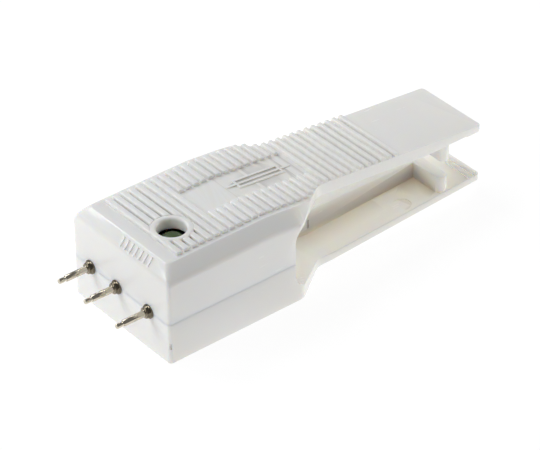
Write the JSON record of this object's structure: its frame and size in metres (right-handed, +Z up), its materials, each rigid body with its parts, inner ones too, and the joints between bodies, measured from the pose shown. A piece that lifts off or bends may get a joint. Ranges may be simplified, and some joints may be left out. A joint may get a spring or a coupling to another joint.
{
  "type": "blade fuse tester and puller",
  "caption": "Pocket blade fuse tester with three sprung probes, an indicator lamp and a squeeze-jaw fuse puller, in a ribbed white case.",
  "frame": {"origin": "on the flat base, under the middle of the case", "axes": "+Z up, -X towards the probes, +X towards the jaws, Y across"},
  "size_m": [0.0607, 0.02, 0.0143],
  "materials": {
    "case_plastic": "glossy white moulded",
    "board": "green solder resist",
    "led_epoxy": "tinted clear epoxy",
    "tin": "tinned wire",
    "solder": "solder",
    "cell_steel": "stainless can",
    "copper": "copper foil",
    "clip_steel": "nickel plated spring steel",
    "resistor": "black chip",
    "nickel": "worn nickel over brass",
    "spring_steel": "spring steel"
  },
  "bodies": {
    "case": {"lower_shell": "case_plastic", "upper_shell": "case_plastic", "circuit_board": "board", "led": "led_epoxy", "led_leads": "tin", "led_solder": "solder", "coin_cell": "cell_steel", "battery_pad": "copper", "battery_clip": "clip_steel", "resistor": "resistor", "probe_solder": "solder", "probe_barrel_regular": "nickel", "probe_barrel_mini": "nickel", "probe_barrel_common": "nickel", "probe_spring_regular": "spring_steel", "probe_spring_mini": "spring_steel", "probe_spring_common": "spring_steel"},
    "upper_jaw": {"upper_jaw": "case_plastic"},
    "tip_regular": {"probe_tip_regular": "nickel"},
    "tip_mini": {"probe_tip_mini": "nickel"},
    "tip_common": {"probe_tip_common": "nickel"}
  },
  "joints": [
    {"name": "jaw_squeeze", "type": "hinge", "parent": "case", "child": "upper_jaw", "pos_m": [0.01345, 0, 0.01238], "axis": [0, 1, 0], "range_deg": [0, 4.2], "stiffness_Nm_per_rad": 3},
    {"name": "tip_press_regular", "type": "slide", "parent": "case", "child": "tip_regular", "axis": [1, 0, 0], "range_m": [0, 0.0009], "stiffness_N_per_m": 600, "springref_m": -0.0004, "deforming": ["probe_spring_regular"]},
    {"name": "tip_press_mini", "type": "slide", "parent": "case", "child": "tip_mini", "axis": [1, 0, 0], "range_m": [0, 0.0009], "stiffness_N_per_m": 600, "springref_m": -0.0004, "deforming": ["probe_spring_mini"]},
    {"name": "tip_press_common", "type": "slide", "parent": "case", "child": "tip_common", "axis": [1, 0, 0], "range_m": [0, 0.0009], "stiffness_N_per_m": 600, "springref_m": -0.0004, "deforming": ["probe_spring_common"]}
  ]
}
